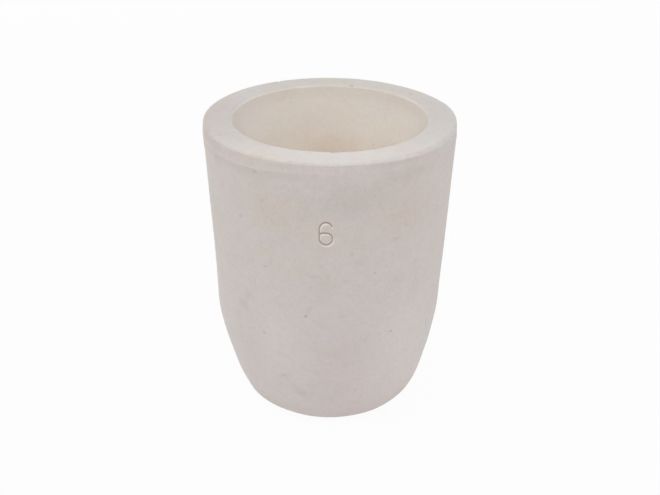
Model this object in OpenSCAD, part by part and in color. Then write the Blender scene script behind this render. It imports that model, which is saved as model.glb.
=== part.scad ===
// Thick-walled round crucible of unglazed fired clay, pressed in one piece.
// It is one wall outline turned about the vertical axis. Z = 0 is the foot, in millimetres.

/* [Overall] */
// Height from the foot to the flat rim
height = 165; // [140:1:220]
// Outside diameter at the foot of the rim band, the widest place
rim_d = 130; // [115:1:170]

/* [Rim] */
// Width of the rim from its outer edge to the mouth, which is the wall's thickness there
rim_wall = 14.6; // [10:0.1:20]
// Height of the plain band round the outside of the rim
band_h = 5; // [3:0.5:12]
// How far the band leans in from its foot up to the rim
band_taper = 0.6; // [0:0.1:1.5]
// How far the foot of the band stands out from the wall below it
band_proud = 0.3; // [0.1:0.1:1]
// Height of the soft step from the band down to the wall
band_step_h = 1.5; // [1:0.5:8]
// Radius of the rim's outer edge
outer_lip_r = 1.2; // [0.5:0.1:2]
// Radius of the rim's inner edge
inner_lip_r = 1.4; // [0.5:0.1:3]

/* [Outside] */
// Draft of the straight outside wall, in degrees
wall_draft = 0.5; // [0:0.1:1.5]
// Height of the shoulder, where the straight wall ends
shoulder_h = 60; // [50:1:75]
// Radius that softens the shoulder
shoulder_round_r = 60; // [10:5:100]
// Lean of the wall at the top of the heel, in degrees from upright
heel_lean = 6; // [2:0.1:9]
// Radius of the long curve of the heel
heel_r = 240; // [200:5:400]
// Radius of the round between the heel and the foot
foot_round_r = 13; // [6:0.5:20]

/* [Cavity] */
// Thickness of the floor under the cavity
floor_t = 18; // [12:0.5:24]
// Draft of the straight cavity wall, in degrees
cavity_draft = 1.2; // [0:0.1:2.5]
// Height above the foot where the cavity wall begins to curve in
cavity_shoulder_h = 66; // [60:1:80]
// Radius of the long curve below the cavity's shoulder
cavity_heel_r = 150; // [110:5:300]
// Radius of the round between the cavity wall and its floor
floor_round_r = 32; // [20:1:36]

/* [Hidden] */
turning_fn = 180;
// Degrees of arc between the points of a small round and of a long curve
round_step = 5;
curve_step = 1;
clay = [0.80, 0.76, 0.73];

band_foot = [rim_d / 2, height - band_h];
rim_r = band_foot[0] - band_taper;
mouth_r = rim_r - rim_wall;
wall_top = band_foot - [band_proud, band_step_h];
shoulder = [wall_top[0] - (wall_top[1] - shoulder_h) * tan(wall_draft), shoulder_h];
cavity_top = [mouth_r, height - inner_lip_r];
cavity_shoulder = [
    mouth_r - (cavity_top[1] - cavity_shoulder_h) * tan(cavity_draft),
    cavity_shoulder_h
];

// Outline points are [distance from the axis, height]. A lean is the angle, in degrees from
// upright, at which a wall runs in towards the axis on its way down.

// The centre of a curve of radius r that a wall enters at a point, with a lean
function curve_centre(start, lean, r) = start + r * [-cos(lean), sin(lean)];

// Points along a circle's arc, both ends included
function arc(centre, r, from, to, step) =
    let (steps = max(1, ceil(abs(to - from) / step)))
    [for (i = [0 : steps])
        let (a = from + (to - from) * i / steps)
        centre + r * [cos(a), sin(a)]];

// The curve that brings a wall in from a start point to a level surface at floor_z: one long arc,
// then a small round that is tangent to the arc and to the surface
function closing_curve(start, lean, long_r, round_r, floor_z) =
    let (
        long_centre = curve_centre(start, lean, long_r),
        rise = floor_z + round_r - long_centre[1],
        reach = sqrt(pow(long_r - round_r, 2) - pow(rise, 2)),
        meet = atan2(rise, reach)
    )
    concat(
        arc(long_centre, long_r, -lean, meet, curve_step),
        arc(long_centre + [reach, rise], round_r, meet, -90, round_step)
    );

// From the rim's outer edge down the straight wall and round the heel to the centre of the foot
function outside_outline() =
    let (
        lip_centre = [rim_r - outer_lip_r, height - outer_lip_r],
        break_centre = curve_centre(shoulder, wall_draft, shoulder_round_r),
        heel_top = break_centre + shoulder_round_r * [cos(heel_lean), -sin(heel_lean)]
    )
    concat(
        arc(lip_centre, outer_lip_r, 90, 0, 3 * round_step),
        [band_foot, wall_top],
        arc(break_centre, shoulder_round_r, -wall_draft, -heel_lean, curve_step),
        closing_curve(heel_top, heel_lean, heel_r, foot_round_r, 0),
        [[0, 0]]
    );

// From the rim's inner edge down the cavity wall to the centre of its floor
function cavity_outline() =
    let (lip_centre = cavity_top + [inner_lip_r, 0])
    concat(
        arc(lip_centre, inner_lip_r, 90, 180, 3 * round_step),
        closing_curve(cavity_shoulder, cavity_draft, cavity_heel_r, floor_round_r, floor_t),
        [[0, floor_t]]
    );

function backwards(points) = [for (i = [len(points) - 1 : -1 : 0]) points[i]];

module crucible() {
    color(clay)
        rotate_extrude($fn = turning_fn)
            polygon(concat(outside_outline(), backwards(cavity_outline())));
}

crucible();
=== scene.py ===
from math import atan2, ceil, cos, degrees, hypot, pi, radians, sin, sqrt, tan
from random import Random

import bmesh
import bpy
from mathutils import Matrix, Vector, bvhtree, kdtree, noise


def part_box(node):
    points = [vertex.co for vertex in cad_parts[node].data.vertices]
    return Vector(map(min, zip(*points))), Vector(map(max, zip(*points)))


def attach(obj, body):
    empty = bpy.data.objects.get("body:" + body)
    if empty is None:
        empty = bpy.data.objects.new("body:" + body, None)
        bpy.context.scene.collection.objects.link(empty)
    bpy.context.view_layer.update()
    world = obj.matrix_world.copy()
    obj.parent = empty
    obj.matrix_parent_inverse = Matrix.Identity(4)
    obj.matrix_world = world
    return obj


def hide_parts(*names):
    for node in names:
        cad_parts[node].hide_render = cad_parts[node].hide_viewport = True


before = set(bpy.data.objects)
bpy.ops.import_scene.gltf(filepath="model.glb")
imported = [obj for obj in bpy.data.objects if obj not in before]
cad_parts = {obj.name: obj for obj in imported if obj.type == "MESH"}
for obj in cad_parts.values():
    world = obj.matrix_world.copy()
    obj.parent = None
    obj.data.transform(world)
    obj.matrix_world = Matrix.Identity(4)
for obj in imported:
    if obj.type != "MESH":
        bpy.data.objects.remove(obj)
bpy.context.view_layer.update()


# --- The wall -----------------------------------------------------------------------------------
# The crucible is one body of fireclay, pressed between a mould and a plunger and fired without
# glaze. One outline turned about the upright axis makes all of it: the flat rim with a low band
# round it, the side with a little draft, the heel, the flat foot, and the cavity.

band_foot_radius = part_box("crucible")[1].x
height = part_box("crucible")[1].z
rim_wall = 0.0146
band_height = 0.005
band_taper = 0.0006
band_proud = 0.0003
band_step_height = 0.0015
outer_lip_radius = 0.0012
inner_lip_radius = 0.0014

wall_draft = radians(0.5)
shoulder_height = 0.060
shoulder_round_radius = 0.060
heel_lean = radians(6)
heel_radius = 0.240
foot_round_radius = 0.013

floor_thickness = 0.018
cavity_draft = radians(1.2)
cavity_shoulder_height = 0.066
cavity_heel_radius = 0.150
floor_round_radius = 0.032

# The outline's long stretches are cut into steps about this long, and its lips into finer ones
row_gap = 0.0025
rim_row_gap = 0.001
lip_row_gap = 0.0003
spokes = 200
tiny_gap = 1e-6

rim_radius = band_foot_radius - band_taper
mouth_radius = rim_radius - rim_wall
band_foot_height = height - band_height
wall_top_radius = band_foot_radius - band_proud
wall_top_height = band_foot_height - band_step_height
shoulder_radius = wall_top_radius - (wall_top_height - shoulder_height) * tan(wall_draft)
cavity_depth_to_shoulder = height - inner_lip_radius - cavity_shoulder_height
cavity_shoulder_radius = mouth_radius - cavity_depth_to_shoulder * tan(cavity_draft)


def leaning_centre(start, lean, radius):
    """The centre of a curve that a wall enters where it leans in towards the axis by an angle."""
    return start + radius * Vector((-cos(lean), 0, sin(lean)))


def draw_line(pen, radius, z, gap):
    """Carries the outline on in a straight line, and returns its new end."""
    way = Vector((radius, 0, z)) - pen.co
    steps = ceil(way.length / gap)
    for _ in range(steps):
        next_point = pen.co + way / steps
        pen = bmesh.ops.extrude_vert_indiv(body, verts=[pen])["verts"][0]
        pen.co = next_point
    return pen


def draw_arc(pen, centre, turn, gap):
    """Carries the outline on round a centre, and returns its new end. A turn from outwards to
    down is positive."""
    steps = ceil(abs(turn) * (pen.co - centre).length / gap)
    arc = bmesh.ops.spin(body, geom=[pen], cent=centre, axis=(0, 1, 0), angle=turn, steps=steps)
    return arc["geom_last"][0]


def draw_closing(pen, lean, long_radius, round_radius, level):
    """Brings a leaning wall in to a level floor or foot and on to the axis: one long arc, then a
    small round that is tangent to the arc and to the level."""
    long_centre = leaning_centre(pen.co, lean, long_radius)
    rise = level + round_radius - long_centre.z
    reach = sqrt((long_radius - round_radius) ** 2 - rise ** 2)
    meeting_lean = -atan2(rise, reach)
    round_centre = long_centre + Vector((reach, 0, rise))
    pen = draw_arc(pen, long_centre, meeting_lean - lean, row_gap)
    pen = draw_arc(pen, round_centre, pi / 2 - meeting_lean, row_gap)
    draw_line(pen, 0, level, row_gap)


body = bmesh.new()
rim_middle = body.verts.new((rim_radius - rim_wall / 2, 0, height))

# Outwards from the middle of the rim, down the side, and round the heel to the foot's centre
pen = draw_line(rim_middle, rim_radius - outer_lip_radius, height, rim_row_gap)
pen = draw_arc(pen, pen.co - Vector((0, 0, outer_lip_radius)), pi / 2, lip_row_gap)
pen = draw_line(pen, band_foot_radius, band_foot_height, rim_row_gap)
pen = draw_line(pen, wall_top_radius, wall_top_height, rim_row_gap / 2)
pen = draw_line(pen, shoulder_radius, shoulder_height, row_gap)
shoulder_centre = leaning_centre(pen.co, wall_draft, shoulder_round_radius)
pen = draw_arc(pen, shoulder_centre, heel_lean - wall_draft, row_gap)
draw_closing(pen, heel_lean, heel_radius, foot_round_radius, 0)

# Inwards from the middle of the rim, and down the cavity to the centre of its floor
pen = draw_line(rim_middle, mouth_radius + inner_lip_radius, height, rim_row_gap)
pen = draw_arc(pen, pen.co - Vector((0, 0, inner_lip_radius)), -pi / 2, lip_row_gap)
pen = draw_line(pen, cavity_shoulder_radius, cavity_shoulder_height, row_gap)
draw_closing(pen, cavity_draft, cavity_heel_radius, floor_round_radius, floor_thickness)

bmesh.ops.spin(
    body, geom=body.verts[:] + body.edges[:], cent=(0, 0, 0), axis=(0, 0, 1),
    angle=2 * pi, steps=spokes, use_merge=True,
)
bmesh.ops.remove_doubles(body, verts=body.verts, dist=tiny_gap)
bmesh.ops.recalc_face_normals(body, faces=body.faces)


# --- The size numeral ---------------------------------------------------------------------------
# A letter punch pressed the crucible's size into the side while the clay was soft. Along the
# upper left of its groove the clay is painted dark, for grime and as painted shade on the steep
# upper wall, and along the lower right it is painted pale, as a highlight on the lit lower wall.

numeral_angle = -91.2
numeral_height = 0.13005
numeral_half_width = 0.00300
bowl_drop = 0.0023
bowl_half_height = 0.0031
bowl_crown_drop = 0.0009
hook_rise = 0.0026
hook_half_height = 0.00365
hook_end = radians(27)
stroke_gap = 0.0002

soft_clay = bvhtree.BVHTree.FromBMesh(body)


def on_outside(angle, z):
    """The point on the outside at an angle round the axis, in degrees, and a height. The front
    is at -90 degrees."""
    way = Vector((cos(radians(angle)), sin(radians(angle)), 0))
    return soft_clay.ray_cast(2 * band_foot_radius * way + Vector((0, 0, z)), -way)[0]


def round_stroke(centre_up, half_height, start, end):
    """Points on part of an oval of the numeral's width, as (across, up) from its middle."""
    steps = ceil(abs(end - start) * numeral_half_width / stroke_gap)
    turns = [start + (end - start) * i / steps for i in range(steps + 1)]
    return [(numeral_half_width * cos(t), centre_up + half_height * sin(t)) for t in turns]


def straight_stroke(across, low, high):
    """Points up an upright stroke."""
    steps = ceil((high - low) / stroke_gap)
    return [(across, low + (high - low) * i / steps) for i in range(steps + 1)]


# The bowl's crown is flatter on its left, where it springs from the stem
bowl_crown = bowl_half_height - bowl_drop - bowl_crown_drop
six = (
    round_stroke(-bowl_drop, bowl_half_height, -pi, pi / 2)
    + round_stroke(bowl_crown, bowl_crown_drop, pi / 2, pi)
    + straight_stroke(-numeral_half_width, -bowl_drop, hook_rise)
    + round_stroke(hook_rise, hook_half_height, hook_end, pi)
)
groove = [
    on_outside(numeral_angle + degrees(across / shoulder_radius), numeral_height + up)
    for across, up in six
]
groove_half_width = 0.00070
groove_depth = 0.00040
groove_fineness = 0.00020
# The dark line along the groove's upper left is grime and painted shade of its steep upper wall
dark_line_side = Vector((-0.00013, 0, 0.00027))
dark_line_half_width = 0.00053
dark_line_core = 0.00015
level_widening = 0.00012
upright_dark_line = 0.65
# The pale line along the groove's lower right is a painted highlight on its lit lower wall
highlight_side = Vector((0.00026, 0, -0.00052))
highlight_half_width = 0.00065
highlight_core = 0.00025


# --- Nicks, pits and dents ----------------------------------------------------------------------
# Knocks have left small nicks on the edges of the rim, and grit that burnt out or fell out has
# left pits. Those on the front and the rim are placed one by one, and a few more are scattered.


def on_rim(angle, radius):
    """The point at an angle in degrees and a radius on the flat rim."""
    return Vector((radius * cos(radians(angle)), radius * sin(radians(angle)), height))


def in_cavity(angle, z):
    """The point on the cavity's wall at an angle in degrees and a height."""
    way = Vector((cos(radians(angle)), sin(radians(angle)), 0))
    return soft_clay.ray_cast(Vector((0, 0, z)), way)[0]


outer_edge = rim_radius - 0.3 * outer_lip_radius
inner_edge = mouth_radius + 0.3 * inner_lip_radius
# Each mark is its place, its radius, its depth, and how dark it is painted, for grime and shade
marks = [
    (on_rim(-105.5, outer_edge), 0.0014, 0.00035, 0.08),
    (on_rim(-103.5, outer_edge), 0.0017, 0.00035, 0.05),
    (on_rim(-118, outer_edge), 0.0010, 0.00020, 0.10),
    (on_rim(-77, outer_edge), 0.0009, 0.00015, 0.10),
    (on_rim(-50, outer_edge), 0.0011, 0.00020, 0.15),
    (on_rim(21, outer_edge), 0.0014, 0.00030, 0.15),
    (on_rim(118, outer_edge), 0.0013, 0.00030, 0.15),
    (on_rim(-88.5, inner_edge), 0.0014, 0.00030, 0),
    (on_rim(-20.5, inner_edge), 0.0016, 0.00040, 0),
    (on_rim(20, inner_edge), 0.0014, 0.00022, 0),
    (on_rim(28, inner_edge), 0.0012, 0.00022, 0),
    (on_rim(76, inner_edge), 0.0013, 0.00040, 0.1),
    (on_rim(-138, inner_edge), 0.0010, 0.00020, 0),
    (on_rim(172, inner_edge), 0.0011, 0.00025, 0),
    (on_rim(36.5, 0.0562), 0.0011, 0.00020, 0.2),
    (on_rim(39.5, 0.0577), 0.0007, 0.00010, 0.15),
    (on_rim(-87, 0.0578), 0.0008, 0.00015, 0.15),
    (on_rim(-150, 0.060), 0.0006, 0.00015, 0.3),
    (on_outside(-121.3, 0.1585), 0.0013, 0.00015, 0.10),
    (on_outside(-115.8, 0.1592), 0.0008, 0.00015, 0.1),
    (on_outside(-130.8, 0.1314), 0.0013, 0.00020, 0.22),
    (on_outside(-118.5, 0.1080), 0.0007, 0.00020, 0.45),
    (on_outside(-119, 0.1430), 0.0012, 0.00015, 0.15),
    (on_outside(-111.8, 0.1510), 0.0007, 0.00015, 0.1),
    (on_outside(-80.3, 0.1192), 0.0011, 0.00020, 0.22),
    (on_outside(-70.0, 0.1070), 0.0010, 0.00020, 0.2),
    (on_outside(-59.0, 0.1010), 0.0007, 0.00015, 0.2),
    (on_outside(-107.9, 0.1037), 0.0006, 0.00015, 0.2),
    (on_outside(-120.9, 0.0668), 0.0012, 0.00025, 0.3),
    (on_outside(-59.7, 0.0684), 0.0008, 0.00020, 0.5),
    (on_outside(-100.2, 0.0832), 0.0008, 0.00015, 0.4),
    (on_outside(-76, 0.0311), 0.0011, 0.00020, 0.3),
    (on_outside(-113.1, 0.0395), 0.0009, 0.00015, 0.2),
    (in_cavity(91.7, 0.1626), 0.0005, 0.00012, 0.4),
    (in_cavity(117, 0.1560), 0.0008, 0.00015, 0.15),
]
# Each scratch is where it starts and ends, cut as a row of small marks that wander a little
scratch_cuts = 12
scratch_wander = 0.35
wander_per_metre = 900
scratch_radius = 0.00045
scratch_depth = 0.00012
scratch_dirt_and_shade = 0.28
for start, end in ((-33.6, 0.0620), (-32.8, 0.0560)), ((-38.4, 0.0300), (-36.8, 0.0250)):
    for i in range(scratch_cuts + 1):
        angle, z = (a + (b - a) * i / scratch_cuts for a, b in zip(start, end))
        angle += scratch_wander * noise.noise(Vector((angle, wander_per_metre * z, 0)))
        marks.append((on_outside(angle, z), scratch_radius, scratch_depth, scratch_dirt_and_shade))

# Loose pits lie anywhere but at the middle of the foot and of the floor, and the back has a few
# larger ones, all placed by chance
loose_pits = 60
back_pits = 18
pit_depth = 0.0002
clear_middle = 0.015
scatter = Random(6)
pitted = [vert.co.copy() for vert in body.verts if hypot(vert.co.x, vert.co.y) > clear_middle]
marks += [
    (place, scatter.uniform(0.0003, 0.0007), pit_depth, scatter.uniform(0, 0.12))
    for place in scatter.sample(pitted, loose_pits)
]
for _ in range(back_pits):
    place = on_outside(scatter.uniform(-15, 195), scatter.uniform(0.015, 0.157))
    marks.append((place, scatter.uniform(0.0005, 0.0011), pit_depth, scatter.uniform(0.15, 0.5)))

# The mesh under the groove and under each mark is cut finer, until it can carry their shape
cuts_per_radius = 3.5
carried = [(point, 2 * groove_half_width, groove_fineness) for point in groove]
carried += [(point, radius, radius / cuts_per_radius) for point, radius, _, _ in marks]
carried_tree = kdtree.KDTree(len(carried))
for index, (point, _, _) in enumerate(carried):
    carried_tree.insert(point, index)
carried_tree.balance()

while True:
    coarse_edges = set()
    for face in body.faces:
        _, index, distance = carried_tree.find(face.calc_center_median())
        _, reach, finest = carried[index]
        face_reach = face.calc_perimeter() / 5
        if distance < reach + face_reach:
            coarse_edges.update(edge for edge in face.edges if edge.calc_length() > finest)
    if not coarse_edges:
        break
    bmesh.ops.subdivide_edges(body, edges=list(coarse_edges), cuts=1, use_grid_fill=True)
bmesh.ops.triangulate(body, faces=[face for face in body.faces if len(face.verts) > 4])

# A cut leaves its new points on the flat between two spokes, so they are brought out to the round
spoke_angle = 2 * pi / spokes
for vert in body.verts:
    off_middle = atan2(vert.co.y, vert.co.x) % spoke_angle - spoke_angle / 2
    vert.co.xy *= cos(off_middle) / cos(spoke_angle / 2)
body.normal_update()


def soft_step(start, end, value):
    """0 up to the start and 1 from the end, with a soft rise between them. The end may be lower."""
    t = min(1, max(0, (value - start) / (end - start)))
    return t * t * (3 - 2 * t)


def within(stretch, value):
    """1 in the middle of a stretch and 0 outside it, with a soft rise and fall. A stretch is where
    the rise starts and ends, and where the fall starts and ends."""
    rise_start, rise_end, fall_start, fall_end = stretch
    return soft_step(rise_start, rise_end, value) * soft_step(fall_end, fall_start, value)


def near_direction(point, direction, outer, inner):
    """1 within the inner angle of a direction round the axis and 0 beyond the outer one, all in
    degrees, with a soft fall between them."""
    off = abs((degrees(atan2(point.y, point.x)) - direction + 180) % 360 - 180)
    return soft_step(outer, inner, off)


swell_depth = 0.00022
swells_per_metre = 28
ripple_depth = 0.00005
ripples_per_metre = 110
true_foot = 0.003


def unevenness(point):
    """How far the hand-fettled clay falls short of the true form, in metres, from 0 up. The flat
    of the foot keeps true, because the crucible dried standing on it."""
    swell = 0.5 + 0.5 * noise.noise(point * swells_per_metre)
    ripple = 0.5 + 0.5 * noise.noise(point * ripples_per_metre)
    return (swell_depth * swell + ripple_depth * ripple) * soft_step(0, true_foot, point.z)


stroke_tree = kdtree.KDTree(len(groove))
for index, point in enumerate(groove):
    stroke_tree.insert(point, index)
stroke_tree.balance()
mark_tree = kdtree.KDTree(len(marks))
for index, (point, _, _, _) in enumerate(marks):
    mark_tree.insert(point, index)
mark_tree.balance()
largest_mark = max(radius for _, radius, _, _ in marks)


def punched_in(point):
    """How far the punch has moved the clay in at a point, in metres, how dark it is painted there
    for grime and shade, and how pale it is painted as a highlight, both from 0 to 1."""
    depth = groove_depth * soft_step(groove_half_width, 0, stroke_tree.find(point)[2])
    dark_line_stroke, _, from_dark_line = stroke_tree.find(point - dark_line_side)
    level_stroke = abs(point.z - dark_line_side.z - dark_line_stroke.z) / max(from_dark_line, tiny_gap)
    wider = level_widening * level_stroke
    dirt_and_shade = soft_step(dark_line_half_width + wider, dark_line_core + wider, from_dark_line)
    dirt_and_shade *= upright_dark_line + (1 - upright_dark_line) * level_stroke
    from_highlight = stroke_tree.find(point - highlight_side)[2]
    highlight = soft_step(highlight_half_width, highlight_core, from_highlight)
    return depth, dirt_and_shade, highlight * (1 - dirt_and_shade)


ragged_edge = 0.35
rags_per_metre = 1400


def knocked_in(point):
    """How far the knocks and the lost grit have taken the clay in at a point, in metres, and how
    dark it is painted there, for the grime and the shade in the hollows, from 0 to 1."""
    depth = 0
    dirt_and_shade = 0
    for _, index, distance in mark_tree.find_range(point, 2 * largest_mark):
        _, radius, mark_depth, mark_dirt_and_shade = marks[index]
        ragged = distance * (1 + ragged_edge * noise.noise(point * rags_per_metre))
        depth += mark_depth * soft_step(radius, 0.3 * radius, ragged)
        dirt_and_shade = max(dirt_and_shade, mark_dirt_and_shade * soft_step(1.3 * radius, 0.1 * radius, ragged))
    return depth, dirt_and_shade


# The band's step is sharpest at the left of the front
sharp_direction = -150
far_left_direction = -178
right_rise = 0.2
right_rise_reach = 0.020
left_rise = 0.8
left_rise_start = 0.009
left_rise_end = 0.002
foot_draws_back = 1.7


def band_fade(point):
    """How far the surface stands out at a point, so that the band's step dies away to the right,
    where the band's foot draws back, and at the far left, where the side rises to meet it."""
    right_rise_start = wall_top_height - right_rise_reach
    if point.z < right_rise_start or hypot(point.x, point.y) < rim_radius - rim_wall / 2:
        return 0
    lost = 1 - near_direction(point, sharp_direction, 120, 45)
    far_left = near_direction(point, far_left_direction, 30, 12)
    below = 1 - soft_step(wall_top_height, band_foot_height, point.z)
    right_side = right_rise * soft_step(right_rise_start, wall_top_height, point.z)
    left_side = left_rise * soft_step(
        wall_top_height - left_rise_start, wall_top_height - left_rise_end, point.z
    )
    foot = soft_step(height - outer_lip_radius, band_foot_height, point.z)
    rise = below * (lost * right_side + far_left * left_side)
    return band_proud * (rise - foot_draws_back * lost * foot * (1 - below))


sag_direction = -148
sag_depth = 0.0012
sagging_heights = (0.150, 0.1575, 0.1605, 0.1640)


def band_sag(point):
    """How far the band's foot hangs lower at a point, at the left of the front, in metres."""
    left = near_direction(point, sag_direction, 45, 25)
    return sag_depth * left * within(sagging_heights, point.z)


# Each uneven stretch of the rim's edge is how far it stands out, the direction of its middle,
# and the angles from there at which it ends and at which it is full
uneven_trim = ((0.0004, 105, 50, 25), (-0.0006, 42, 26, 10), (0.0003, 8, 14, 6))
rubbed_slope = 0.0006
slope_direction = -35
worn_in = 0.0020
worn_down = 0.0040


def edge_wear(point):
    """How far the rim's outer edge stands out and hangs down at a point, in metres. It was trimmed
    unevenly at the back and the right, and at the front on the right it was rubbed to a slope."""
    edge = (
        soft_step(rim_radius - worn_in, rim_radius - 0.0004, hypot(point.x, point.y))
        * soft_step(height - worn_down, height - outer_lip_radius, point.z)
    )
    stands_out = sum(
        step * near_direction(point, direction, outer, inner)
        for step, direction, outer, inner in uneven_trim
    )
    return stands_out * edge, rubbed_slope * edge * near_direction(point, slope_direction, 50, 28)


heel_spread = 0.0006
foot_front_direction = -97
foot_left_direction = -157
foot_left_share = 0.8
heel_shift = 0.00022
waist_shift = 0.00025
left_side_shift = 0.0004
spread_heights = (0.001, 0.005, 0.014, 0.028)
heel_heights = (0.003, 0.015, 0.025, 0.045)
waist_heights = (0.035, 0.055, 0.070, 0.095)
left_side_heights = (0.016, 0.026, 0.050, 0.085)


def kiln_bend(point):
    """How far the firing has moved a point, as a vector: it bent the body to the right at the heel
    and to the left above it, and most on the left side. It spread the heel, but for its front."""
    left_side = soft_step(-0.020, -0.045, point.x) * within(left_side_heights, point.z)
    shift = (
        heel_shift * within(heel_heights, point.z) - waist_shift * within(waist_heights, point.z)
        - left_side_shift * left_side
    )
    spared_front = near_direction(point, foot_front_direction, 42, 12)
    spared_left = near_direction(point, foot_left_direction, 17, 6)
    spared_left *= foot_left_share * soft_step(0.016, 0.010, point.z)
    spread = heel_spread * within(spread_heights, point.z) * (1 - spared_front - spared_left)
    return spread * point.xy.to_3d().normalized() + Vector((shift, 0, 0))


mouth_wander_depth = 0.0002
mouth_wanders_per_metre = 45
straight_depth = 0.0004
straight_direction = -97
straight_half_angle = 8


def mouth_wander(point):
    """How far the mouth's edge stands in towards the axis, where the knife that trimmed it
    wandered. It went straight for a stretch at the front."""
    from_edge = hypot(hypot(point.x, point.y) - mouth_radius, point.z - height)
    wander = noise.noise(point.xy.to_3d() * mouth_wanders_per_metre)
    turned = degrees(atan2(point.y, point.x)) - straight_direction
    straight = max(0, 1 - (turned / straight_half_angle) ** 2)
    stands_in = mouth_wander_depth * wander + straight_depth * straight
    return stands_in * soft_step(0.005, 0.001, from_edge)


# Painted darker where the clay is pressed or knocked in, for settled dust and iron and for shade
grime_and_shade = body.verts.layers.float.new("grime_and_shade")
# A painted highlight along the lower right of the numeral's groove
groove_highlight = body.verts.layers.float.new("groove_highlight")
moved = []
for vert in body.verts:
    punched, groove_dark_line, vert[groove_highlight] = punched_in(vert.co)
    knocked, dirt_and_shade = knocked_in(vert.co)
    stands_out, hangs_down = edge_wear(vert.co)
    outwards = vert.co.xy.to_3d().normalized()
    moved.append(
        vert.co + vert.normal * (band_fade(vert.co) - unevenness(vert.co) - punched - knocked)
        + outwards * (stands_out - mouth_wander(vert.co))
        + kiln_bend(vert.co) - Vector((0, 0, hangs_down + band_sag(vert.co)))
    )
    vert[grime_and_shade] = max(dirt_and_shade, groove_dark_line)
for vert, point in zip(body.verts, moved):
    vert.co = point
for face in body.faces:
    face.smooth = True

body_mesh = bpy.data.meshes.new("crucible_body")
body.to_mesh(body_mesh)
body.free()
crucible_body = bpy.data.objects.new("crucible_body", body_mesh)
bpy.context.scene.collection.objects.link(crucible_body)
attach(crucible_body, "root")
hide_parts("crucible")


# --- The fired clay -----------------------------------------------------------------------------
# Unglazed fireclay, fired to a dry pale buff. It is matt and fine grained, mottled with buff and
# lilac grey, with brown iron specks, a few rust stains, and a whiter rim. Some of its tones are
# painted light and shade, each said where it is laid.

clay_colour = (0.752, 0.706, 0.688, 1)
# Each tone multiplies the colour under it
# This tone is also laid as painted light on the cavity's walls
pale_cream_and_painted_light = (1.09, 1.09, 1.08, 1)
cavity_painted_light = (1.280, 1.316, 1.300, 1)
rim_white = (0.99, 1.026, 1.03, 1)
front_rim_white = (1.12, 1.11, 1.10, 1)
cool_white = (1.025, 1.035, 1.065, 1)
lip_highlight = (1.19, 1.20, 1.18, 1)
buff = (1.0, 0.985, 0.945, 1)
brown_buff = (0.99, 0.965, 0.93, 1)
pinkish = (1.0, 0.965, 0.985, 1)
lilac = (0.985, 0.965, 0.985, 1)
grey_green = (0.965, 0.985, 0.97, 1)
slate = (0.93, 0.93, 0.93, 1)
# This dark tone is also laid as painted shade: under the mouth's lip, under the band's step and
# just below the outer lip
soot_and_shade = (0.92, 0.90, 0.88, 1)
# This tone is also laid as a painted highlight along the band's foot
pale_wear_and_highlight = (1.04, 1.025, 1.025, 1)
painted_bounce_warmth = (1.02, 1.0, 0.965, 1)
rosy = (0.96, 0.94, 0.94, 1)
iron_brown = (0.62, 0.52, 0.45, 1)
# This tone is also laid as painted shade low in the cavity and at the heel
red_brown_and_shade = (0.95, 0.905, 0.88, 1)
olive_brown = (0.94, 0.91, 0.85, 1)
rust = (0.98, 0.88, 0.79, 1)
dirt_and_shade_brown = (0.59, 0.47, 0.43, 1)
groove_highlight_white = (1.25, 1.25, 1.26, 1)

clay = bpy.data.materials.new("fired_clay")
clay.use_nodes = True
clay_tree = clay.node_tree


def add_node(tree, kind, values=None, **settings):
    """Adds a node to a tree, with its inputs' values by name and its settings."""
    node = tree.nodes.new(kind)
    for name, value in settings.items():
        setattr(node, name, value)
    for name, value in (values or {}).items():
        node.inputs[name].default_value = value
    return node


def combine(operation, first, second):
    """A maths node of the clay, whose second number is a plain value or another node's."""
    maths = add_node(clay_tree, "ShaderNodeMath", operation=operation)
    clay_tree.links.new(first, maths.inputs[0])
    if isinstance(second, (int, float)):
        maths.inputs[1].default_value = second
    else:
        clay_tree.links.new(second, maths.inputs[1])
    return maths.outputs[0]


def both(first, second, *others):
    """Where masks overlap."""
    overlap = combine("MULTIPLY", first, second)
    for other in others:
        overlap = combine("MULTIPLY", overlap, other)
    return overlap


def fade(value, start, end):
    """0 up to the start and 1 from the end, with a soft rise between them. The end may be lower."""
    rise = add_node(
        clay_tree, "ShaderNodeMapRange", {"From Min": start, "From Max": end},
        interpolation_type="SMOOTHSTEP",
    )
    clay_tree.links.new(value, rise.inputs["Value"])
    return rise.outputs["Result"]


def clouds(size, detail=3.0, place=None):
    """A cloudy noise with patches of about a size in metres, from 0 to 1."""
    noise_node = add_node(
        clay_tree, "ShaderNodeTexNoise", {"Scale": 1 / size, "Detail": detail, "Roughness": 0.55}
    )
    clay_tree.links.new(place or on_clay, noise_node.inputs["Vector"])
    return noise_node.outputs["Fac"]


def specks(gap, share, size):
    """Small round grains about a gap apart, of which a share shows, as a mask."""
    cells = add_node(clay_tree, "ShaderNodeTexVoronoi", {"Scale": 1 / gap})
    clay_tree.links.new(on_clay, cells.inputs["Vector"])
    chosen = add_node(clay_tree, "ShaderNodeSeparateXYZ")
    clay_tree.links.new(cells.outputs["Color"], chosen.inputs["Vector"])
    grain = fade(cells.outputs["Distance"], size / gap, 0.5 * size / gap)
    return both(grain, fade(chosen.outputs["X"], share, 0.6 * share))


stain_edge = 1.3
stain_core = 0.3
rag_size = 0.003
rag_strength = 0.7


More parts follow.
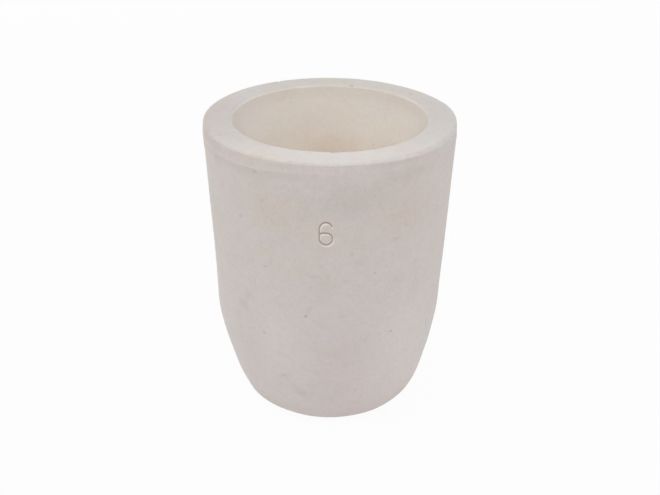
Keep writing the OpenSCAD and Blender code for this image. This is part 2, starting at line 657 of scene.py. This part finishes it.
def patch(place, deep, across, upright, tilt=0):
    """A ragged oval at a place, with its half sizes in metres from the axis outwards, across and
    up, tilted to the right by an angle in degrees, as a mask."""
    oval = add_node(
        clay_tree, "ShaderNodeMapping",
        {
            "Location": place,
            "Rotation": (radians(-tilt), 0, atan2(place.y, place.x)),
            "Scale": (deep, across, upright),
        },
        vector_type="TEXTURE",
    )
    clay_tree.links.new(on_clay, oval.inputs["Vector"])
    reach = add_node(clay_tree, "ShaderNodeVectorMath", operation="LENGTH")
    clay_tree.links.new(oval.outputs["Vector"], reach.inputs[0])
    ragged_reach = combine("ADD", reach.outputs["Value"], raggedness)
    return fade(ragged_reach, stain_edge, stain_core)


def tint(colour, tone, mask, strength=1.0):
    """The clay's colour, multiplied by a tone where a mask says, by up to a strength."""
    blend = add_node(clay_tree, "ShaderNodeMix", data_type="RGBA", blend_type="MULTIPLY")
    factor, under, over = blend.inputs[0], blend.inputs[6], blend.inputs[7]
    over.default_value = tone
    clay_tree.links.new(colour, under)
    clay_tree.links.new(combine("MULTIPLY", mask, strength), factor)
    return blend.outputs[2]


place_node = add_node(clay_tree, "ShaderNodeTexCoord")
on_clay = place_node.outputs["Object"]
axes = add_node(clay_tree, "ShaderNodeSeparateXYZ")
clay_tree.links.new(on_clay, axes.inputs["Vector"])
to_right = axes.outputs["X"]
to_back = axes.outputs["Y"]
up = axes.outputs["Z"]
level_place = add_node(clay_tree, "ShaderNodeVectorMath", operation="MULTIPLY")
level_place.inputs[1].default_value = (1, 1, 0)
clay_tree.links.new(on_clay, level_place.inputs[0])
from_axis = add_node(clay_tree, "ShaderNodeVectorMath", operation="LENGTH")
clay_tree.links.new(level_place.outputs["Vector"], from_axis.inputs[0])
out = from_axis.outputs["Value"]
# Turning and wiping drew the clay out sideways, so this noise is much longer across than up
drawn_out = add_node(clay_tree, "ShaderNodeVectorMath", operation="MULTIPLY")
drawn_out.inputs[1].default_value = (0.12, 0.12, 1)
clay_tree.links.new(on_clay, drawn_out.inputs[0])
raggedness = combine("MULTIPLY", clouds(rag_size), rag_strength)
raggedness = combine("SUBTRACT", raggedness, 0.2)

in_cavity_mask = both(fade(out, mouth_radius + 0.0008, mouth_radius), fade(up, 0.010, 0.014))
outside_mask = fade(out, mouth_radius + 0.002, mouth_radius + 0.004)
upper_wall_mask = fade(up, 0.080, 0.125)
back_mask = both(fade(to_back, 0, 0.025), outside_mask)

# The rim's whiter top is carried down over its rounded edges as a painted highlight, and
# furthest at the right of the front, where the edge is painted as lit lower
lit_further_down = 0.0008
front_right = both(fade(to_right, 0.018, 0.045), fade(to_back, 0, -0.020))
lit_edge_up = combine("ADD", up, combine("MULTIPLY", front_right, lit_further_down))
rim_and_lit_edge_mask = fade(lit_edge_up, height - 0.0012, height - 0.0006)
edge_mask = both(
    fade(up, height - 0.0010, height - 0.0005),
    fade(out, rim_radius - 0.0018, rim_radius - 0.0008),
)

# The mouth's edge is painted paler at the back, a painted highlight where it catches the light,
# and the wall just under it is painted darker, as the shadow under the edge
lip_highlight_mask = both(
    fade(out, mouth_radius + 0.0015, mouth_radius + 0.0009),
    fade(up, height - 0.0016, height - 0.0006), fade(to_back, 0.008, 0.024),
)
under_lip_shadow_mask = both(
    in_cavity_mask, fade(to_back, 0, 0.032),
    fade(up, height - 0.0100, height - 0.0040), fade(up, height - 0.0006, height - 0.0014),
)

# The band is paler than the side below it, with a painted highlight along its foot and a painted
# shadow under its step, all most on the left. Its foot is ragged, and hangs lower at the left
clouded_right = combine("ADD", to_right, combine("MULTIPLY", clouds(0.012), 0.02))
left_mask = fade(clouded_right, 0.015, -0.025)
ragged_up = combine("ADD", up, combine("MULTIPLY", clouds(0.005), 0.001))
sagging = combine("MULTIPLY", fade(to_right, -0.020, -0.034), sag_depth)
above_foot = combine("ADD", ragged_up, sagging)
band_mask = both(
    fade(above_foot, band_foot_height - 0.0004, band_foot_height + 0.0010), left_mask, outside_mask
)
ledge_highlight_mask = both(
    band_mask, fade(above_foot, band_foot_height + 0.0024, band_foot_height + 0.0006)
)
under_band_shadow_mask = both(
    fade(above_foot, band_foot_height + 0.0004, band_foot_height - 0.0008),
    fade(above_foot, band_foot_height - 0.0055, band_foot_height - 0.0015),
    left_mask, outside_mask,
)

# The colour starts plain, and each line lays one more difference over it
start_colour = add_node(clay_tree, "ShaderNodeMix", {0: 1.0}, data_type="RGBA", blend_type="MIX")
start_colour.inputs[7].default_value = clay_colour
colour = start_colour.outputs[2]
# The cavity is painted much paler than the wall, as painted light for the light its hollow misses
colour = tint(colour, cavity_painted_light, in_cavity_mask)
# Lower in the cavity the clay is painted warmer, as painted light reflected between its walls
colour = tint(colour, painted_bounce_warmth, both(in_cavity_mask, fade(up, 0.150, 0.115)))
colour = tint(colour, rim_white, rim_and_lit_edge_mask)
# The rim's top is whiter still towards the front
colour = tint(colour, front_rim_white, both(rim_and_lit_edge_mask, fade(to_back, -0.016, -0.054)))
colour = tint(colour, lip_highlight, lip_highlight_mask, 0.55)
colour = tint(colour, soot_and_shade, under_lip_shadow_mask, 0.4)
colour = tint(colour, pale_wear_and_highlight, band_mask, 0.4)
colour = tint(colour, pale_wear_and_highlight, ledge_highlight_mask, 0.4)
colour = tint(colour, soot_and_shade, under_band_shadow_mask, 0.45)
unmottled = colour
colour = tint(colour, buff, both(upper_wall_mask, fade(clouds(0.030), 0.30, 0.65)), 0.6)
colour = tint(colour, lilac, fade(clouds(0.020, 2.0), 0.45, 0.70), 0.4)
colour = tint(colour, pinkish, fade(clouds(0.0045), 0.40, 0.65), 0.6)
colour = tint(colour, grey_green, fade(clouds(0.0034, 4.0), 0.45, 0.62), 0.5)
wiped = clouds(0.0060, place=drawn_out.outputs["Vector"])
colour = tint(colour, buff, fade(wiped, 0.40, 0.65), 0.5)
colour = tint(colour, soot_and_shade, fade(clouds(0.010, 5.0), 0.50, 0.80), 0.3)
colour = tint(colour, soot_and_shade, fade(clouds(0.0024, 2.0), 0.40, 0.75), 0.25)
colour = tint(colour, soot_and_shade, fade(clouds(0.0011, 2.0), 0.35, 0.75), 0.5)
colour = tint(colour, brown_buff, both(back_mask, fade(clouds(0.035), 0.45, 0.65)), 0.8)
colour = tint(colour, red_brown_and_shade, both(back_mask, fade(clouds(0.010), 0.62, 0.74)), 0.6)
colour = tint(colour, soot_and_shade, both(back_mask, fade(clouds(0.006), 0.62, 0.76)), 0.6)
# The plunger pressed the cavity smoother, so it is mottled less
smoother = add_node(clay_tree, "ShaderNodeMix", data_type="RGBA", blend_type="MIX")
clay_tree.links.new(combine("MULTIPLY", in_cavity_mask, 0.25), smoother.inputs[0])
clay_tree.links.new(colour, smoother.inputs[6])
clay_tree.links.new(unmottled, smoother.inputs[7])
colour = smoother.outputs[2]
colour = tint(colour, iron_brown, specks(0.0065, 0.30, 0.00038), 0.35)
colour = tint(colour, iron_brown, specks(0.0150, 0.35, 0.00060), 0.3)
colour = tint(colour, pinkish, both(edge_mask, fade(clouds(0.004), 0.3, 0.6)), 0.3)

# Each stain is its tone, its strength, its place, its three half sizes and its tilt
for tone, strength, place, deep, across, upright, tilt in (
    (brown_buff, 0.8, on_outside(-116.0, 0.1400), 0.020, 0.022, 0.015, 0),
    (brown_buff, 0.8, on_outside(-54.0, 0.1360), 0.020, 0.022, 0.015, 0),
    (soot_and_shade, 0.5, on_outside(-78.0, 0.1480), 0.010, 0.028, 0.010, 0),
    (soot_and_shade, 0.35, on_outside(-86.0, 0.1420), 0.010, 0.020, 0.007, 0),
    (pinkish, 0.5, on_outside(-72.0, 0.0300), 0.030, 0.045, 0.035, 0),
    (slate, 1.0, on_outside(-153.0, 0.1625), 0.006, 0.020, 0.004, 0),
    # Two thin painted shadows just under the rim's outer lip
    (soot_and_shade, 0.5, on_outside(-64.0, 0.1626), 0.003, 0.020, 0.0014, 0),
    (soot_and_shade, 0.4, on_outside(-105.0, 0.1626), 0.003, 0.011, 0.0010, 0),
    (slate, 0.5, on_rim(-142.0, 0.0570), 0.010, 0.014, 0.010, 0),
    (brown_buff, 0.9, on_rim(-168.0, 0.0635), 0.004, 0.030, 0.004, 0),
    # Painted light on the cavity's walls at the left and the right
    (pale_cream_and_painted_light, 0.5, in_cavity(160.0, 0.1420), 0.020, 0.020, 0.014, 0),
    (pale_cream_and_painted_light, 0.8, in_cavity(24.0, 0.1420), 0.020, 0.028, 0.018, 0),
    (slate, 0.7, on_outside(-55.0, 0.1560), 0.010, 0.020, 0.004, 0),
    (lilac, 0.8, on_outside(-84.0, 0.0600), 0.020, 0.020, 0.028, 0),
    (grey_green, 0.8, on_outside(-130.0, 0.0550), 0.020, 0.016, 0.030, 0),
    (grey_green, 0.4, on_outside(-155.0, 0.1100), 0.020, 0.014, 0.045, 0),
    (grey_green, 0.4, on_outside(-38.0, 0.0700), 0.020, 0.012, 0.040, 0),
    (pale_cream_and_painted_light, 0.5, on_outside(-46.0, 0.0520), 0.030, 0.032, 0.050, 0),
    (pale_cream_and_painted_light, 0.5, on_outside(-22.0, 0.0200), 0.020, 0.022, 0.020, 0),
    (pale_cream_and_painted_light, 0.45, on_outside(-116.0, 0.0580), 0.020, 0.015, 0.028, 0),
    (slate, 0.5, on_outside(-92.0, 0.0290), 0.020, 0.014, 0.015, 0),
    # Painted shade low in the cavity at the back, where it is deepest
    (red_brown_and_shade, 0.7, in_cavity(90.0, 0.1250), 0.010, 0.022, 0.012, 0),
    # Painted light on the cavity's right wall
    (pale_cream_and_painted_light, 0.35, in_cavity(58.0, 0.1390), 0.015, 0.018, 0.016, 0),
    (cool_white, 1.0, on_rim(-86, 0.0580), 0.020, 0.034, 0.010, 0),
    (brown_buff, 0.9, on_rim(166, 0.0605), 0.006, 0.030, 0.004, 0),
    (rosy, 0.8, on_rim(180, 0.0570), 0.014, 0.040, 0.010, 0),
    (rosy, 0.4, on_rim(5, 0.0570), 0.014, 0.030, 0.010, 0),
    (soot_and_shade, 0.35, on_outside(-92.0, 0.1010), 0.010, 0.010, 0.007, 0),
    (soot_and_shade, 0.5, on_outside(-121.0, 0.1576), 0.003, 0.0016, 0.0010, 70),
    (soot_and_shade, 0.6, on_outside(-125.0, 0.1582), 0.003, 0.0045, 0.0006, 0),
    (soot_and_shade, 0.8, on_outside(-115.8, 0.1585), 0.003, 0.0012, 0.0005, 80),
    (soot_and_shade, 0.6, on_outside(-113.8, 0.1338), 0.003, 0.0018, 0.0016, 0),
    (soot_and_shade, 0.6, on_outside(-55.2, 0.1294), 0.003, 0.0022, 0.0016, 0),
    (soot_and_shade, 0.6, on_outside(-61.3, 0.1236), 0.003, 0.0026, 0.0018, 0),
    (soot_and_shade, 0.5, on_outside(-96.4, 0.1070), 0.003, 0.0028, 0.0018, 0),
    (soot_and_shade, 0.5, on_outside(-82.1, 0.1042), 0.003, 0.0026, 0.0018, 0),
    (soot_and_shade, 0.5, on_outside(-83.9, 0.0837), 0.003, 0.0022, 0.0018, 0),
    (red_brown_and_shade, 0.7, on_outside(-133.5, 0.0790), 0.006, 0.0055, 0.0055, 0),
    (red_brown_and_shade, 0.7, on_outside(-129.5, 0.0860), 0.006, 0.0045, 0.0040, 0),
    (red_brown_and_shade, 0.6, on_outside(-112.6, 0.0395), 0.006, 0.0030, 0.0065, 60),
    (olive_brown, 0.6, on_outside(-105.5, 0.0292), 0.006, 0.0050, 0.0045, 0),
    (olive_brown, 0.6, on_outside(-102.5, 0.0262), 0.006, 0.0040, 0.0040, 0),
    (rust, 0.6, on_outside(-98.4, 0.0876), 0.003, 0.0014, 0.0046, 28),
    (iron_brown, 0.3, on_outside(-100.1, 0.0836), 0.003, 0.0008, 0.0016, 26),
    (rust, 0.7, on_rim(75.8, mouth_radius + 0.0006), 0.0012, 0.0016, 0.0020, 0),
    (rust, 0.6, on_rim(36.3, 0.0561), 0.0008, 0.0020, 0.0020, 0),
    (soot_and_shade, 0.5, on_rim(39.6, 0.0577), 0.0012, 0.0022, 0.0020, 0),
    (soot_and_shade, 0.5, in_cavity(80.3, 0.1558), 0.003, 0.0012, 0.0008, 0),
    (soot_and_shade, 0.5, in_cavity(84.4, 0.1556), 0.003, 0.0010, 0.0008, 0),
    (soot_and_shade, 0.4, in_cavity(117.0, 0.1585), 0.003, 0.0016, 0.0008, 0),
):
    colour = tint(colour, tone, patch(place, deep, across, upright, tilt), strength)

# The lowest part of the heel is a little browner, partly its own colour and partly painted shade
# where it meets the floor
heel_mask = both(fade(up, 0.022, 0.006), fade(clouds(0.006), 0.15, 0.5))
colour = tint(colour, red_brown_and_shade, heel_mask, 0.5)

# Grime and painted shade in the numeral's groove, the pits, the nicks and the scratches
dirt_and_shade_node = add_node(clay_tree, "ShaderNodeAttribute", attribute_name="grime_and_shade")
colour = tint(colour, dirt_and_shade_brown, dirt_and_shade_node.outputs["Fac"], 0.9)
# The painted highlight along the lower right of the numeral's groove
groove_highlight_node = add_node(clay_tree, "ShaderNodeAttribute", attribute_name="groove_highlight")
colour = tint(colour, groove_highlight_white, groove_highlight_node.outputs["Fac"])

# A dry grain, with faint lines left by turning and wiping
wiping_lines = combine("MULTIPLY", clouds(0.0016, place=drawn_out.outputs["Vector"]), 0.6)
grain = combine("ADD", clouds(0.0009, 4.0), wiping_lines)
grain_bump = add_node(clay_tree, "ShaderNodeBump", {"Strength": 0.6, "Distance": 0.00003})
clay_tree.links.new(grain, grain_bump.inputs["Height"])
dryness = add_node(clay_tree, "ShaderNodeMapRange", {"To Min": 0.72, "To Max": 0.92})
clay_tree.links.new(clouds(0.008), dryness.inputs["Value"])

surface = clay_tree.nodes["Principled BSDF"]
surface.inputs["Diffuse Roughness"].default_value = 0.8
surface.inputs["Specular IOR Level"].default_value = 0.4
clay_tree.links.new(dryness.outputs["Result"], surface.inputs["Roughness"])
clay_tree.links.new(grain_bump.outputs["Normal"], surface.inputs["Normal"])
clay_tree.links.new(colour, surface.inputs["Base Color"])
body_mesh.materials.append(clay)


# --- The studio ---------------------------------------------------------------------------------
# The crucible stands on a plain white floor in a pale room, with wide soft lamps in front of it,
# above it and behind it. The camera looks down on it from the front.

floor_size = 6
floor_mesh = bpy.data.meshes.new("floor")
floor_shape = bmesh.new()
bmesh.ops.create_grid(floor_shape, x_segments=1, y_segments=1, size=floor_size / 2)
floor_shape.to_mesh(floor_mesh)
floor_shape.free()
floor = bpy.data.objects.new("floor", floor_mesh)
bpy.context.scene.collection.objects.link(floor)


def background_rays(tree):
    """1 for a ray that the camera, a shine or a clear thing sends, which finds the background
    white, and 0 for the rest, which light the crucible."""
    path = add_node(tree, "ShaderNodeLightPath")
    seen = path.outputs["Is Camera Ray"]
    for kind in ("Is Glossy Ray", "Is Transmission Ray"):
        either = add_node(tree, "ShaderNodeMath", operation="MAXIMUM")
        tree.links.new(seen, either.inputs[0])
        tree.links.new(path.outputs[kind], either.inputs[1])
        seen = either.outputs[0]
    return seen


# The floor glows to those rays, with a little of its lit paint, which keeps the soft shadow
white = bpy.data.materials.new("floor_white")
white.use_nodes = True
floor_tree = white.node_tree
paint = floor_tree.nodes["Principled BSDF"]
paint.inputs["Base Color"].default_value = (0.9, 0.9, 0.9, 1)
paint.inputs["Roughness"].default_value = 1
paint.inputs["Specular IOR Level"].default_value = 0
glow = add_node(floor_tree, "ShaderNodeEmission", {"Strength": 1.0})
glow_share = 0.94
seen = add_node(floor_tree, "ShaderNodeMath", {1: glow_share}, operation="MULTIPLY")
blend = add_node(floor_tree, "ShaderNodeMixShader")
floor_tree.links.new(background_rays(floor_tree), seen.inputs[0])
floor_tree.links.new(seen.outputs[0], blend.inputs["Fac"])
floor_tree.links.new(paint.outputs["BSDF"], blend.inputs[1])
floor_tree.links.new(glow.outputs["Emission"], blend.inputs[2])
floor_tree.links.new(blend.outputs["Shader"], floor_tree.nodes["Material Output"].inputs["Surface"])
floor_mesh.materials.append(white)

# The room lights the crucible softly from all round, and is white where the camera sees it
room = bpy.data.worlds.new("studio")
bpy.context.scene.world = room
room.use_nodes = True
room_tree = room.node_tree
backdrop = room_tree.nodes["Background"]
backdrop.inputs["Color"].default_value = (1, 1, 1, 1)
room_strength = 0.455
room_level = add_node(room_tree, "ShaderNodeMapRange", {"To Min": room_strength, "To Max": 1.0})
room_tree.links.new(background_rays(room_tree), room_level.inputs["Value"])
room_tree.links.new(room_level.outputs["Result"], backdrop.inputs["Strength"])

lamp_size = 1.0
lamp_distance = 2.5
lamp_aim = Vector((0, 0, height / 2))


def add_lamp(name, round_from_front, up_angle, power):
    """Adds a square soft lamp, at an angle in degrees to the right of the front and one up."""
    light = bpy.data.lights.new(name, "AREA")
    light.size = lamp_size
    light.energy = power
    lamp = bpy.data.objects.new(name, light)
    turned = Matrix.Rotation(radians(round_from_front), 3, "Z")
    raised = Matrix.Rotation(radians(-up_angle), 3, "X")
    lamp.location = lamp_aim + turned @ raised @ Vector((0, -lamp_distance, 0))
    lamp.rotation_euler = (lamp_aim - lamp.location).to_track_quat("-Z", "Y").to_euler()
    bpy.context.scene.collection.objects.link(lamp)


add_lamp("front", 0, 35, 13)
add_lamp("upper_left", -75, 60, 6)
add_lamp("upper_right", 35, 60, 4.5)
add_lamp("back_left", -140, 12, 12)
add_lamp("back_right", 165, 12, 12)

camera_data = bpy.data.cameras.new("camera")
camera_data.sensor_width = 36
camera_data.lens = 36.785
camera_data.clip_start = 0.01
camera = bpy.data.objects.new("camera", camera_data)
camera.location = (0.000437, -0.33168, 0.28122)
down_angle = 30.525
roll_angle = 0.412
look_down = Matrix.Rotation(pi / 2 - radians(down_angle), 3, "X")
roll = Matrix.Rotation(radians(roll_angle), 3, "Z")
camera.rotation_euler = (look_down @ roll).to_euler()
bpy.context.scene.collection.objects.link(camera)
bpy.context.scene.camera = camera
bpy.context.scene.view_settings.view_transform = "Standard"
